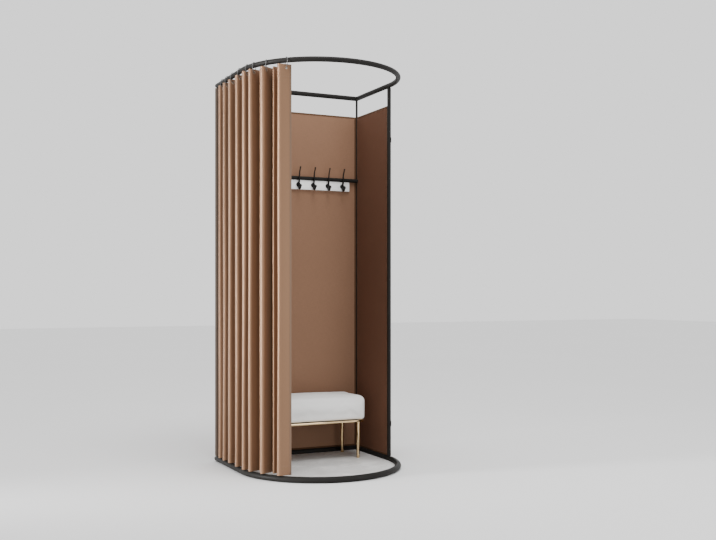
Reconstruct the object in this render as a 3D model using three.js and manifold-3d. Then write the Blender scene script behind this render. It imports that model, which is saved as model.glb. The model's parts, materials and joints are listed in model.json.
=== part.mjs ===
// Portable fitting room: a knock-down tube frame on a D-shaped plan with a straight rear wall and a round
// front. A pleated curtain hangs on rings from the top hoop, two flat panels close the rear and one side,
// and a hook rail, a bench and a floor board stand inside. Millimetres, +Z up, doorway towards -Y.
import * as THREE from 'three';
import { mergeVertices } from 'three/addons/utils/BufferGeometryUtils.js';
import Module from 'manifold-3d';

// Cabin, measured on the centre lines of its tubes
const cabinWidth = 815;
const sideLength = 395;
const cabinHeight = 2000;
const seatGap = 0.3;

// Tubes of the frame
const railDiameter = 25;
const railWall = 1.5;
const baseDiameter = 30;
const baseWall = 1.5;
const rearPostDiameter = 12;
const frontPostDiameter = 20;
const postWall = 1.2;
const tubeSides = 12;
const bowSteps = 15;

// Flat panels with a bound edge, and the clips that hold them to the posts
const panelHeadGap = 118;
const panelBoard = 5;
const bindingWidth = 12;
const bindingProud = 0.7;
const clipSteel = 1.5;
const clipHeight = 25;
const clipTab = 22;
const lowClipHeight = 200;
const highClipDrop = 182;

// Floor board
const floorThickness = 8;

// Hook bar, the board under it and its double hooks
const barDiameter = 20;
const barHeight = 1521;
const hookBoardLength = 354;
const hookBoardDrop = 51;
const hookBoardThickness = 12;
const hookBoardCorner = 5;
const hookBoardRightGap = 53;
const hookCount = 4;
const hookPitch = 88;
const roseDiameter = 26;
const roseDepth = 5;
const roseRimShare = 0.3;
const hookDiameter = 8;
const hookBallDiameter = 11;
const hookReach = 32;
const hookRise = 92;
const hookDrop = 22;
const upperArmShares = [[0.15, 0], [0.32, 0.1], [0.44, 0.22], [0.47, 0.4], [0.6, 0.7], [1, 1]];
const lowerArmShares = [[0.17, -0.05], [0.27, -0.7], [0.55, -1], [0.85, -0.85], [1, -0.36]];

// Bench
const benchDepth = 250;
const benchPanelGap = 71.5;
const benchCurtainGap = 30;
const benchRearGap = 35;
const benchFrameInset = 25;
const benchFrameHeight = 203;
const benchFrameWidth = 20;
const benchFrameThickness = 10;
const cushionHeight = 128;
const cushionCrown = 13;
const cushionRound = 32;
const cushionDrawIn = 4;
const cushionSegments = [14, 8, 6];
const legTopDiameter = 22;
const legFootDiameter = 17;
const legCollarHeight = 6;
const legCollarProud = 2;
const legEndInset = 21;
const legSideInset = 23;

// Curtain rings: the split wire ring hangs on the rail and is turned to thread the cloth
const ringRadius = 25;
const ringWire = 3;
const ringSlack = 1.1;
const ringTurn = THREE.MathUtils.degToRad(35);
const ringSegments = 20;
const wireSides = 6;

// Curtain cloth: folds lie round upright pegs, on the outside at a crest and on the inside at a valley
const clothThickness = 2.4;
const clothBottom = 34;
const clothHeadGap = 7;
const crestRadius = 10;
const crestReach = 22;
const valleyRadius = 6;
const valleyReach = 85;
const ridgeRadius = 7;
const ridgeDepth = 15;
const seamDepth = 25;
const eyeletRadius = 6.5;
const eyeletDrop = 2.6;
const foldSteps = 8;
const edgeFold = 8;
const edgeRun = 9.5;
const edgeLegRun = 28;
const parkedRingShares = [0.24, 0.43, 0.65, 0.93];
const movingRingTurns = [9.2, 17.3, 29.2, 44.9].map(THREE.MathUtils.degToRad);
const leadFoldBack = 33;
const leadOverlap = 19;
const leadDepth = 15;

// Sizes that follow
const frontRadius = cabinWidth / 2;
const bowLength = Math.PI * frontRadius;
const bowFacet = bowLength / 2 / bowSteps;
const panelThickness = panelBoard + 2 * bindingProud;
const panelTop = cabinHeight - panelHeadGap;
const panelBottom = baseDiameter + seatGap;
const clothTop = cabinHeight - railDiameter - clothHeadGap;
const benchLength = cabinWidth - benchPanelGap - valleyReach - benchCurtainGap;
const benchFrameLength = benchLength - 2 * benchFrameInset;
const barForward = panelThickness / 2 + seatGap + barDiameter / 2;
const hookBoardTop = barHeight - barDiameter / 2 - seatGap;
const hookBoardFace = panelBoard / 2 + seatGap + hookBoardThickness;

const wasm = await Module();
wasm.setup();

const paint = new THREE.MeshStandardMaterial({ color: 0x232323, roughness: 0.45, metalness: 0.6 });
const panelBrown = new THREE.MeshStandardMaterial({ color: 0x7a5a44, roughness: 0.8, metalness: 0 });
const clothBrown = new THREE.MeshStandardMaterial({ color: 0x9a7a62, roughness: 0.85, metalness: 0 });
const chrome = new THREE.MeshStandardMaterial({ color: 0xc8c8c8, roughness: 0.2, metalness: 1 });
const floorGrey = new THREE.MeshStandardMaterial({ color: 0xc4c4c4, roughness: 0.7, metalness: 0 });
const boardWhite = new THREE.MeshStandardMaterial({ color: 0xececea, roughness: 0.5, metalness: 0 });
const hookBlack = new THREE.MeshStandardMaterial({ color: 0x141414, roughness: 0.35, metalness: 0.7 });
const brass = new THREE.MeshStandardMaterial({ color: 0xc9a45c, roughness: 0.3, metalness: 1 });
const cushionWhite = new THREE.MeshStandardMaterial({ color: 0xe4e2de, roughness: 0.9, metalness: 0 });
const seatBoardBlack = new THREE.MeshStandardMaterial({ color: 0x1c1a18, roughness: 0.8, metalness: 0 });

// Plan place at a run along the rail from the rear left corner, and a distance outside its centre line
function railPlan(run, outside) {
  const half = frontRadius + outside;
  if (run < sideLength) return new THREE.Vector2(-half, -run);
  const turn = (run - sideLength) / frontRadius;
  if (turn > Math.PI) return new THREE.Vector2(half, run - 2 * sideLength - bowLength);
  return new THREE.Vector2(-half * Math.cos(turn), -sideLength - half * Math.sin(turn));
}

// Plan heading that points straight out from the rail at a run
function outwardHeading(run) {
  const turn = Math.max(0, run - sideLength) / frontRadius;
  return Math.PI + turn;
}

class RailRun extends THREE.Curve {
  constructor(from, to) {
    super();
    this.from = from;
    this.to = to;
  }

  getPoint(share, target = new THREE.Vector3()) {
    const plan = railPlan(THREE.MathUtils.lerp(this.from, this.to, share), 0);
    return target.set(plan.x, plan.y, 0);
  }
}

// Distance from a many-sided tube's axis to its corners, where its flats lie at the radius
function cornerRadius(radius, sides) {
  return radius / Math.cos(Math.PI / sides);
}

function polygon(radius, sides) {
  const corner = cornerRadius(radius, sides);
  return Array.from({ length: sides }, (_, side) => {
    const angle = (2 * Math.PI * (side + 0.5)) / sides;
    return new THREE.Vector2(corner * Math.cos(angle), corner * Math.sin(angle));
  });
}

function rod(path, diameter, steps, sides) {
  const section = new THREE.Shape(polygon(diameter / 2, sides));
  return new THREE.ExtrudeGeometry(section, { steps, extrudePath: path });
}

function tube(path, diameter, wall, steps = 1) {
  const section = new THREE.Shape(polygon(diameter / 2, tubeSides));
  section.holes.push(new THREE.Path(polygon(diameter / 2 - wall, tubeSides)));
  return new THREE.ExtrudeGeometry(section, { steps, extrudePath: path });
}

function straightTube(length, diameter, wall) {
  const half = new THREE.Vector3(length / 2, 0, 0);
  return tube(new THREE.LineCurve3(half.clone().negate(), half), diameter, wall);
}

// Slides each end of a straight tube along x by its slope times y, which cuts a mitre
function mitre(geometry, startSlope, endSlope) {
  const places = geometry.getAttribute('position');
  for (let i = 0; i < places.count; i += 1) {
    const slope = places.getX(i) < 0 ? startSlope : endSlope;
    places.setX(i, places.getX(i) + slope * places.getY(i));
  }
  return geometry;
}

function toSolid(geometry) {
  const bare = geometry.clone();
  bare.deleteAttribute('normal');
  bare.deleteAttribute('uv');
  const merged = mergeVertices(bare);
  const index = merged.getIndex().array;
  const corners = [];
  for (let i = 0; i < index.length; i += 3) {
    const triangle = [index[i], index[i + 1], index[i + 2]];
    if (new Set(triangle).size === 3) corners.push(...triangle);
  }
  const vertProperties = new Float32Array(merged.getAttribute('position').array);
  const mesh = new wasm.Mesh({ numProp: 3, vertProperties, triVerts: new Uint32Array(corners) });
  return new wasm.Manifold(mesh);
}

function toGeometry(solid) {
  const mesh = solid.getMesh();
  const geometry = new THREE.BufferGeometry();
  geometry.setAttribute('position', new THREE.BufferAttribute(mesh.vertProperties, 3));
  geometry.setIndex(new THREE.BufferAttribute(mesh.triVerts, 1));
  geometry.computeVertexNormals();
  return geometry;
}

function cut(geometry, ...cutters) {
  return toGeometry(cutters.reduce((solid, cutter) => solid.subtract(toSolid(cutter)), toSolid(geometry)));
}

function join(...geometries) {
  return toGeometry(geometries.map(toSolid).reduce((solid, next) => solid.add(next)));
}

function addPiece(parent, name, geometry, material) {
  const piece = new THREE.Mesh(geometry, material);
  piece.name = name;
  parent.add(piece);
  return piece;
}

// A hoop: mitred rear corners, a bow in two halves and a spigot inside each butt joint
function buildHoop(prefix, height, diameter, wall) {
  const hoop = new THREE.Group();
  hoop.position.z = height;
  const mitreBack = seatGap / Math.SQRT2;
  const rearLength = cabinWidth - 2 * mitreBack;
  addPiece(hoop, `${prefix}_tube_rear`, mitre(straightTube(rearLength, diameter, wall), -1, 1), paint);

  const sideTube = sideLength - seatGap / 2 - mitreBack;
  for (const [side, direction] of [['left', -1], ['right', 1]]) {
    const geometry = mitre(straightTube(sideTube, diameter, wall), -direction, 0);
    const piece = addPiece(hoop, `${prefix}_tube_${side}`, geometry, paint);
    piece.position.set(direction * frontRadius, -mitreBack - sideTube / 2, 0);
    piece.rotation.z = -Math.PI / 2;
  }

  const middle = sideLength + bowLength / 2;
  const joints = { left: sideLength, front: middle, right: sideLength + bowLength };
  const halves = { left: [joints.left, middle], right: [middle, joints.right] };
  for (const [side, [from, to]] of Object.entries(halves)) {
    const path = new RailRun(from + seatGap / 2, to - seatGap / 2);
    addPiece(hoop, `${prefix}_arc_${side}`, tube(path, diameter, wall, bowSteps), paint);
  }
  const spigot = diameter - 2 * (wall + seatGap);
  for (const [place, run] of Object.entries(joints)) {
    const path = new RailRun(run - bowFacet, run + bowFacet);
    addPiece(hoop, `${prefix}_joiner_${place}`, tube(path, spigot, wall, 2), chrome);
  }
  return hoop;
}

function buildPosts() {
  const posts = new THREE.Group();
  posts.position.z = baseDiameter + seatGap;
  const length = cabinHeight - railDiameter - baseDiameter - 2 * seatGap;
  const path = new THREE.LineCurve3(new THREE.Vector3(), new THREE.Vector3(0, 0, length));
  const places = [
    ['post_rear_left', -frontRadius, 0, rearPostDiameter],
    ['post_rear_right', frontRadius, 0, rearPostDiameter],
    ['post_front_right', frontRadius, -sideLength, frontPostDiameter],
  ];
  for (const [name, x, y, diameter] of places) {
    addPiece(posts, name, tube(path, diameter, postWall), paint).position.set(x, y, 0);
  }
  return posts;
}

// A board whose bound edge stands proud on both faces
function boundPanel(width) {
  const height = panelTop - panelBottom;
  const [openWidth, openHeight] = [width, height].map((size) => size - 2 * bindingWidth);
  const recesses = [-1, 1].map((side) => {
    const recess = new THREE.BoxGeometry(openWidth, 2 * bindingProud, openHeight);
    return recess.translate(0, side * panelThickness / 2, 0);
  });
  return cut(new THREE.BoxGeometry(width, panelThickness, height), ...recesses);
}

function buildPanels() {
  const panels = new THREE.Group();
  panels.position.z = (panelTop + panelBottom) / 2;
  const rearWidth = cabinWidth - rearPostDiameter - 2 * seatGap;
  addPiece(panels, 'panel_rear', boundPanel(rearWidth), panelBrown);
  const sideWidth = sideLength - (rearPostDiameter + frontPostDiameter) / 2 - 2 * seatGap;
  const side = addPiece(panels, 'panel_side', boundPanel(sideWidth), panelBrown);
  side.position.set(frontRadius, -rearPostDiameter / 2 - seatGap - sideWidth / 2, 0);
  side.rotation.z = Math.PI / 2;
  return panels;
}

// A saddle clip round the outside of a post, with a tab along the panel on +x and, at a corner, a
// second tab along the panel on -y; hand -1 gives the mirror image
function panelClip(postDiameter, hand, atCorner) {
  const inner = cornerRadius(postDiameter / 2, tubeSides) + seatGap;
  const outer = inner + clipSteel;
  const under = panelThickness / 2 + seatGap;
  const over = under + clipSteel;
  const tabEnd = postDiameter / 2 + clipTab;
  const innerStart = Math.asin(under / inner);
  const outerStart = Math.asin(over / outer);
  const outline = new THREE.Shape();
  outline.moveTo(tabEnd, under);
  if (atCorner) {
    outline.absarc(0, 0, inner, innerStart, 1.5 * Math.PI - innerStart, false);
    outline.lineTo(-under, -tabEnd);
    outline.lineTo(-over, -tabEnd);
    outline.absarc(0, 0, outer, 1.5 * Math.PI - outerStart, outerStart, true);
  } else {
    outline.absarc(0, 0, inner, innerStart, Math.PI, false);
    outline.absarc(0, 0, outer, Math.PI, outerStart, true);
  }
  outline.lineTo(tabEnd, over);
  const arcSteps = atCorner ? 6 : 4;
  const points = outline.getPoints(arcSteps).map((point) => new THREE.Vector2(point.x, hand * point.y));
  const shape = new THREE.Shape(points);
  return new THREE.ExtrudeGeometry(shape, { depth: clipHeight, bevelEnabled: false });
}

function buildClips() {
  const clips = new THREE.Group();
  const places = [
    ['left', -frontRadius, 0, 0, panelClip(rearPostDiameter, 1, false)],
    ['corner', frontRadius, 0, -Math.PI / 2, panelClip(rearPostDiameter, 1, true)],
    ['front', frontRadius, -sideLength, Math.PI / 2, panelClip(frontPostDiameter, -1, false)],
  ];
  for (const [place, x, y, turn, geometry] of places) {
    for (const [level, height] of [['low', lowClipHeight], ['high', panelTop - highClipDrop]]) {
      const clip = addPiece(clips, `panel_clip_${place}_${level}`, geometry, paint);
      clip.position.set(x, y, height - clipHeight / 2);
      clip.rotation.z = turn;
    }
  }
  return clips;
}

// A D-shaped board whose edge tucks in under the belly of the base hoop
function buildFloorBoard() {
  const baseRadius = baseDiameter / 2;
  const facet = Math.PI / (tubeSides / 2);
  const rise = baseRadius - floorThickness;
  const inset = (baseRadius - rise * Math.sin(facet)) / Math.cos(facet) + seatGap;
  const half = frontRadius - inset;
  const outline = new THREE.Shape();
  outline.moveTo(half, -inset);
  outline.lineTo(-half, -inset);
  outline.absarc(0, -sideLength, half, Math.PI, 2 * Math.PI, false);
  const board = new THREE.Group();
  const plate = new THREE.ExtrudeGeometry(outline, {
    depth: floorThickness, bevelEnabled: false, curveSegments: bowSteps,
  });
  addPiece(board, 'floor_board', plate, floorGrey);
  return board;
}

// A bar across the rear, coped round the posts at both ends
function hookBar() {
  const length = cabinWidth - panelThickness - 2 * seatGap;
  const copes = [-1, 1].map((side) => {
    const radius = cornerRadius(cornerRadius(rearPostDiameter / 2, tubeSides) + seatGap, 2 * tubeSides);
    const cope = new THREE.CylinderGeometry(radius, radius, 2 * barDiameter, 2 * tubeSides);
    return cope.rotateX(Math.PI / 2).translate(side * frontRadius, barForward, 0);
  });
  return cut(straightTube(length, barDiameter, postWall), ...copes);
}

function roundedBoard() {
  const [x, z, corner] = [hookBoardLength / 2, hookBoardDrop / 2, hookBoardCorner];
  const outline = new THREE.Shape();
  outline.absarc(x - corner, z - corner, corner, 0, Math.PI / 2, false);
  outline.absarc(corner - x, z - corner, corner, Math.PI / 2, Math.PI, false);
  outline.absarc(corner - x, corner - z, corner, Math.PI, 1.5 * Math.PI, false);
  outline.absarc(x - corner, corner - z, corner, 1.5 * Math.PI, 2 * Math.PI, false);
  const board = new THREE.ExtrudeGeometry(outline, {
    depth: hookBoardThickness, bevelEnabled: false, curveSegments: 2,
  });
  return board.rotateX(Math.PI / 2).translate(0, hookBoardThickness / 2, 0);
}

// A hook's arm from its rose, through shares of the reach and of a height, with a ball at its tip
function hookArm(shares, height) {
  const points = shares.map(([out, up]) => new THREE.Vector3(0, -out * hookReach, up * height));
  const path = new THREE.CatmullRomCurve3(points);
  const ball = new THREE.SphereGeometry(hookBallDiameter / 2, 10, 6);
  ball.translate(...points.at(-1).toArray());
  return join(rod(path, hookDiameter, 10, 8), ball);
}

// A double coat hook: a domed rose with a long upper arm and a short lower arm
function doubleHook() {
  const rim = roseDepth * roseRimShare;
  const profile = [
    new THREE.Vector2(0, 0),
    new THREE.Vector2(roseDiameter / 2, 0),
    new THREE.Vector2(roseDiameter / 2, rim),
    new THREE.Vector2(roseDiameter / 4, roseDepth),
    new THREE.Vector2(0, roseDepth),
  ];
  const rose = new THREE.LatheGeometry(profile, 2 * tubeSides).rotateX(Math.PI);
  return join(rose, hookArm(upperArmShares, hookRise), hookArm(lowerArmShares, hookDrop));
}

function buildHookRail() {
  const rail = new THREE.Group();
  const bar = addPiece(rail, 'hook_bar', hookBar(), paint);
  bar.position.set(0, -barForward, barHeight);

  const boardX = frontRadius - hookBoardRightGap - hookBoardLength / 2;
  const boardZ = hookBoardTop - hookBoardDrop / 2;
  const board = addPiece(rail, 'hook_board', roundedBoard(), boardWhite);
  board.position.set(boardX, hookBoardThickness / 2 - hookBoardFace, boardZ);

  const geometry = doubleHook();
  for (let i = 0; i < hookCount; i += 1) {
    const hook = addPiece(rail, `hook_${i + 1}`, geometry, hookBlack);
    hook.position.set(boardX + ((hookCount - 1) / 2 - i) * hookPitch, -hookBoardFace - seatGap, boardZ);
  }
  return rail;
}

// A block with rounded corners and top edges, a crowned top, sides drawn in between the corners and a
// flat underside at height zero
function cushion() {
  const half = new THREE.Vector3(benchLength / 2, benchDepth / 2, cushionHeight / 2);
  const block = new THREE.BoxGeometry(1, 1, 1, ...cushionSegments);
  const places = block.getAttribute('position');
  const place = new THREE.Vector3();
  const core = new THREE.Vector3();
  for (let i = 0; i < places.count; i += 1) {
    place.fromBufferAttribute(places, i);
    place.set(...place.toArray().map((share) => Math.sin(Math.PI * share))).multiply(half);
    core.x = THREE.MathUtils.clamp(place.x, cushionRound - half.x, half.x - cushionRound);
    core.y = THREE.MathUtils.clamp(place.y, cushionRound - half.y, half.y - cushionRound);
    core.z = Math.min(place.z, half.z - cushionRound);
    place.sub(core);
    const reach = place.length();
    const most = Math.max(...place.toArray().map(Math.abs));
    if (reach > 0) place.multiplyScalar(most / reach);
    place.add(core);
    const [acrossX, acrossY] = [1 - (place.x / half.x) ** 2, 1 - (place.y / half.y) ** 2];
    const height = place.z + half.z;
    const crown = cushionCrown * acrossX * acrossY * (height / cushionHeight);
    const x = place.x * (1 - (cushionDrawIn / half.x) * acrossY);
    const y = place.y * (1 - (cushionDrawIn / half.y) * acrossX);
    places.setXYZ(i, x, y, height + crown);
  }
  return block;
}

function rectangle(width, depth) {
  const [x, y] = [width / 2, depth / 2];
  const corners = [[-x, -y], [x, -y], [x, y], [-x, y]];
  return corners.map(([cornerX, cornerY]) => new THREE.Vector2(cornerX, cornerY));
}

function benchFrame() {
  const outline = new THREE.Shape(rectangle(benchFrameLength, benchDepth));
  const inside = rectangle(benchFrameLength - 2 * benchFrameWidth, benchDepth - 2 * benchFrameWidth);
  outline.holes.push(new THREE.Path(inside));
  return new THREE.ExtrudeGeometry(outline, { depth: benchFrameThickness, bevelEnabled: false });
}

// A turned leg: a slim taper under a collar that seats on the frame
function benchLeg(height) {
  const collar = legTopDiameter / 2 + legCollarProud;
  const profile = [
    new THREE.Vector2(0, 0),
    new THREE.Vector2(legFootDiameter / 2, 0),
    new THREE.Vector2(legTopDiameter / 2, height - legCollarHeight),
    new THREE.Vector2(collar, height - legCollarHeight),
    new THREE.Vector2(collar, height),
    new THREE.Vector2(0, height),
  ];
  return new THREE.LatheGeometry(profile, tubeSides).rotateX(Math.PI / 2);
}

function buildBench() {
  const bench = new THREE.Group();
  const benchX = frontRadius - benchPanelGap - benchLength / 2;
  bench.position.set(benchX, -benchRearGap - benchDepth / 2, 0);
  const seatTop = benchFrameHeight + benchFrameThickness;
  addPiece(bench, 'bench_cushion', cushion(), cushionWhite).position.z = seatTop + seatGap;

  const rebate = benchFrameWidth + seatGap;
  const [boardLength, boardDepth] = [benchFrameLength, benchDepth].map((size) => size - 2 * rebate);
  const seatBoard = new THREE.BoxGeometry(boardLength, boardDepth, benchFrameThickness);
  addPiece(bench, 'bench_board', seatBoard, seatBoardBlack).position.z = seatTop - benchFrameThickness / 2;
  addPiece(bench, 'bench_frame', benchFrame(), brass).position.z = benchFrameHeight;

  const legBottom = floorThickness + seatGap;
  const leg = benchLeg(benchFrameHeight - seatGap - legBottom);
  const [legX, legY] = [benchFrameLength / 2 - legEndInset, benchDepth / 2 - legSideInset];
  const corners = { front_left: [-1, -1], front_right: [1, -1], rear_left: [-1, 1], rear_right: [1, 1] };
  for (const [corner, [x, y]] of Object.entries(corners)) {
    addPiece(bench, `bench_leg_${corner}`, leg, brass).position.set(x * legX, y * legY, legBottom);
  }
  return bench;
}

// Lays cloth taut round pegs, on the outside of a peg with side 1 and on the inside with side -1; gives
// points with their run, distance outside the rail and heading
function layCloth(pegs) {
  const headings = pegs.slice(1).map((peg, i) => {
    const [along, across] = [peg.run - pegs[i].run, peg.out - pegs[i].out];
    const swing = (pegs[i].side * pegs[i].radius - peg.side * peg.radius) / Math.hypot(along, across);
    return Math.atan2(across, along) - Math.asin(swing);
  });
  return pegs.flatMap((peg, i) => {
    const arriving = headings[Math.max(i - 1, 0)];
    const leaving = headings[Math.min(i, headings.length - 1)];
    const steps = peg.radius > 0 ? foldSteps : 0;
    return Array.from({ length: steps + 1 }, (_, step) => {
      const heading = THREE.MathUtils.lerp(arriving, leaving, step / Math.max(steps, 1));
      const offset = peg.side * peg.radius;
      const run = peg.run - offset * Math.sin(heading);
      const out = peg.out + offset * Math.cos(heading);
      return { run, out, heading };
    });
  });
}

// Hanging cloth along a laid line, pierced for its ring
function pleat(line, ringRun, ringHeading) {
  const side = (share) => line.map(({ run, out, heading }) => {
    const offset = share * clothThickness;
    return railPlan(run - offset * Math.sin(heading), out + offset * Math.cos(heading));
  });
  const outline = new THREE.Shape([...side(0.5), ...side(-0.5).reverse()]);
  const cloth = new THREE.ExtrudeGeometry(outline, { depth: clothTop - clothBottom, bevelEnabled: false });
  cloth.translate(0, 0, clothBottom);
  const hole = new THREE.CylinderGeometry(eyeletRadius, eyeletRadius, 4 * clothThickness, tubeSides);
  const place = railPlan(ringRun, 0);
  hole.rotateZ(outwardHeading(ringRun) - ringHeading - Math.PI / 2);
  hole.translate(place.x, place.y, ringCentre() - ringRadius - eyeletDrop);
  return cut(cloth, hole);
}

function ringCentre() {
  return cabinHeight + ringSlack - (ringRadius - ringWire / 2);
}

function crest(run, radius, reach) {
  return { run, out: reach - radius, radius, side: 1 };
}

function valley(run) {
  return { run, out: valleyRadius - valleyReach, radius: valleyRadius, side: -1 };
}

function clothEdge(run, out) {
  return { run, out, radius: 0, side: 1 };
}

// The folds between the cloth at one run and the crest at the next: valley, low ridge, valley, crest
function folds(fromRun, crestRun) {
  const first = fromRun + valleyRadius;
  const third = (crestRun - first) / 3;
  return [
    valley(first),
    crest(first + third, ridgeRadius, -ridgeDepth),
    valley(first + 2 * third),
    crest(crestRun, crestRadius, crestReach),
  ];
}

function buildCurtain() {
  const curtain = new THREE.Group();
  const ringRuns = [
    ...parkedRingShares.map((share) => share * sideLength),
    ...movingRingTurns.map((turn) => sideLength + turn * frontRadius),
  ];
  const ring = new THREE.TorusGeometry(ringRadius, ringWire / 2, wireSides, ringSegments);
  ring.rotateX(Math.PI / 2);
  ringRuns.forEach((run, i) => {
    const place = railPlan(run, 0);
    const piece = addPiece(curtain, `curtain_ring_${i + 1}`, ring, chrome);
    piece.position.set(place.x, place.y, ringCentre());
    piece.rotation.z = outwardHeading(run) + ringTurn;
  });

  const seamGap = seatGap / 2;
  ringRuns.forEach((run, i) => {
    const isFirst = i === 0;
    const isLast = i === ringRuns.length - 1;
    const start = isFirst
      ? [clothEdge(edgeRun, edgeFold), crest(edgeLegRun - edgeFold, edgeFold, 2 * edgeFold)]
      : [clothEdge(ringRuns[i - 1], -seamDepth - seamGap)];
    const end = isLast
      ? [clothEdge(run + leadOverlap, -leadDepth)]
      : [clothEdge(run, seamGap - seamDepth)];
    const crestRun = isLast ? run - leadFoldBack : run - crestRadius;
    const line = layCloth([...start, ...folds(isFirst ? edgeLegRun : ringRuns[i - 1], crestRun), ...end]);
    const ringHeading = line.at(-1).heading;
    addPiece(curtain, `curtain_pleat_${i + 1}`, pleat(line, run, ringHeading), clothBrown);
  });
  return curtain;
}

const cabin = new THREE.Group();
cabin.add(
  buildHoop('base', baseDiameter / 2, baseDiameter, baseWall),
  buildHoop('rail', cabinHeight - railDiameter / 2, railDiameter, railWall),
  buildPosts(),
  buildPanels(),
  buildClips(),
  buildFloorBoard(),
  buildHookRail(),
  buildCurtain(),
  buildBench(),
);

// The origin is on the floor, at the middle of the whole object's outline
const bounds = new THREE.Box3().setFromObject(cabin, true);
const middle = bounds.getCenter(new THREE.Vector3());
cabin.position.set(-middle.x, -middle.y, -bounds.min.z);

const fittingRoom = new THREE.Group();
fittingRoom.add(cabin);
export default fittingRoom;
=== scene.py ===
# Portable fitting room: the finished look of every piece, in metres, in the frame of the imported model.
# The rear panel is at +Y, the open round front at -Y, the curtain on the -X side.
import json
import math
from collections import namedtuple

import bmesh
import bpy
from mathutils import Matrix, Vector


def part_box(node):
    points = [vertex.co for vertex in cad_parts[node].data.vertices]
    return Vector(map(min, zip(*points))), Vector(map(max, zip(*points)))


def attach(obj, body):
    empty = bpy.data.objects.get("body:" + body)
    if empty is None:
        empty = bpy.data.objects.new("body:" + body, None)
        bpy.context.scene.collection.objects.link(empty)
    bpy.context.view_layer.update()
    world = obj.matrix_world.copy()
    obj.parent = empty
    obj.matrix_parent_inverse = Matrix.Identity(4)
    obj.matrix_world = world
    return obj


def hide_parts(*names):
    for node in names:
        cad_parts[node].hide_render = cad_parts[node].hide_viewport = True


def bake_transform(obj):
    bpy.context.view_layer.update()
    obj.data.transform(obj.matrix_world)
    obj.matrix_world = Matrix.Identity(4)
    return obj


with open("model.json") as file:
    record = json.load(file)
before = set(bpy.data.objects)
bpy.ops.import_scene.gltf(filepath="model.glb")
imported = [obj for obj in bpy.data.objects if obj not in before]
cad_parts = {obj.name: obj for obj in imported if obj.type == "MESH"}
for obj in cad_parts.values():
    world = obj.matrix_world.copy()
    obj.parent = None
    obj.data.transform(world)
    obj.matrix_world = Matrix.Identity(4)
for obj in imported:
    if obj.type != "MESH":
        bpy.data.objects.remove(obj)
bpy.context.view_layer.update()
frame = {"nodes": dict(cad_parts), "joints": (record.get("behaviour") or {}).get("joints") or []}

MM = 0.001
UP = Vector((0, 0, 1))


# Places and sizes read from the frame
def box_of(node):
    """The low corner, the high corner and the middle."""
    low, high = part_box(node)
    return low, high, (low + high) / 2


def middle_of(node):
    return box_of(node)[2]


def size_of(node):
    low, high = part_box(node)
    return high - low


DRAW_AXIS = Vector(frame["joints"][0]["pos_m"])
BOW_CENTRE = Vector((DRAW_AXIS.x, DRAW_AXIS.y, 0))
POST_LEFT = middle_of("post_rear_left")
POST_RIGHT = middle_of("post_rear_right")
POST_FRONT = middle_of("post_front_right")
BOW_RADIUS = (POST_RIGHT.x - POST_LEFT.x) / 2
SIDE_LENGTH = POST_RIGHT.y - POST_FRONT.y
SEAT_GAP = 0.3 * MM
RAIL_STEPS = 72
TUBE_SIDES = 48
SOLID_SIDES = 12
BOARD_ROUND = 0.8 * MM


def clear_of_post(node):
    """How far from a post's axis a piece clears the corners of its many-sided solid."""
    return size_of(node).x / 2 / math.cos(math.pi / SOLID_SIDES) + SEAT_GAP


# Objects, meshes and shapes
def added(name, data):
    """Puts a new object with its data into the scene."""
    thing = bpy.data.objects.new(name, data)
    bpy.context.scene.collection.objects.link(thing)
    return thing


def mesh_of(bm, name):
    """Turns a shape into a mesh and frees the shape."""
    mesh = bpy.data.meshes.new(name)
    bm.to_mesh(mesh)
    bm.free()
    return mesh


def pour(bm, into):
    """Adds one shape to another and frees it."""
    mesh = mesh_of(bm, "part")
    into.from_mesh(mesh)
    bpy.data.meshes.remove(mesh)


def worked_out(holder):
    """The shape of an object with its curve or modifiers worked out."""
    bpy.context.view_layer.update()
    mesh = bpy.data.meshes.new_from_object(holder.evaluated_get(bpy.context.evaluated_depsgraph_get()))
    bm = bmesh.new()
    bm.from_mesh(mesh)
    bpy.data.meshes.remove(mesh)
    return bm


# The camera stands where the photograph was taken from
CAMERA_PLACE = (-1.955, -4.516, 0.899)
CAMERA_TURN = -25.78
CAMERA_LENS = 48.5
CAMERA_SHIFT = 0.0299
CAMERA_SIGHT = 60


def add_camera():
    data = bpy.data.cameras.new("camera")
    data.lens = CAMERA_LENS
    data.shift_y = CAMERA_SHIFT
    data.clip_end = CAMERA_SIGHT
    camera = added("camera", data)
    camera.location = CAMERA_PLACE
    camera.rotation_euler = (math.radians(90), 0, math.radians(CAMERA_TURN))
    bpy.context.scene.camera = camera


add_camera()


# Materials
class Shade:
    """A shader socket: Python's operators on it add Math nodes."""

    def __init__(self, paint, socket):
        self.paint = paint
        self.socket = socket

    def __add__(self, other):
        return self.paint.maths("ADD", self, other)

    def __sub__(self, other):
        return self.paint.maths("SUBTRACT", self, other)

    def __rsub__(self, other):
        return self.paint.maths("SUBTRACT", other, self)

    def __mul__(self, other):
        return self.paint.maths("MULTIPLY", self, other)

    def __pow__(self, other):
        return self.paint.maths("POWER", self, other)

    __radd__ = __add__
    __rmul__ = __mul__


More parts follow.
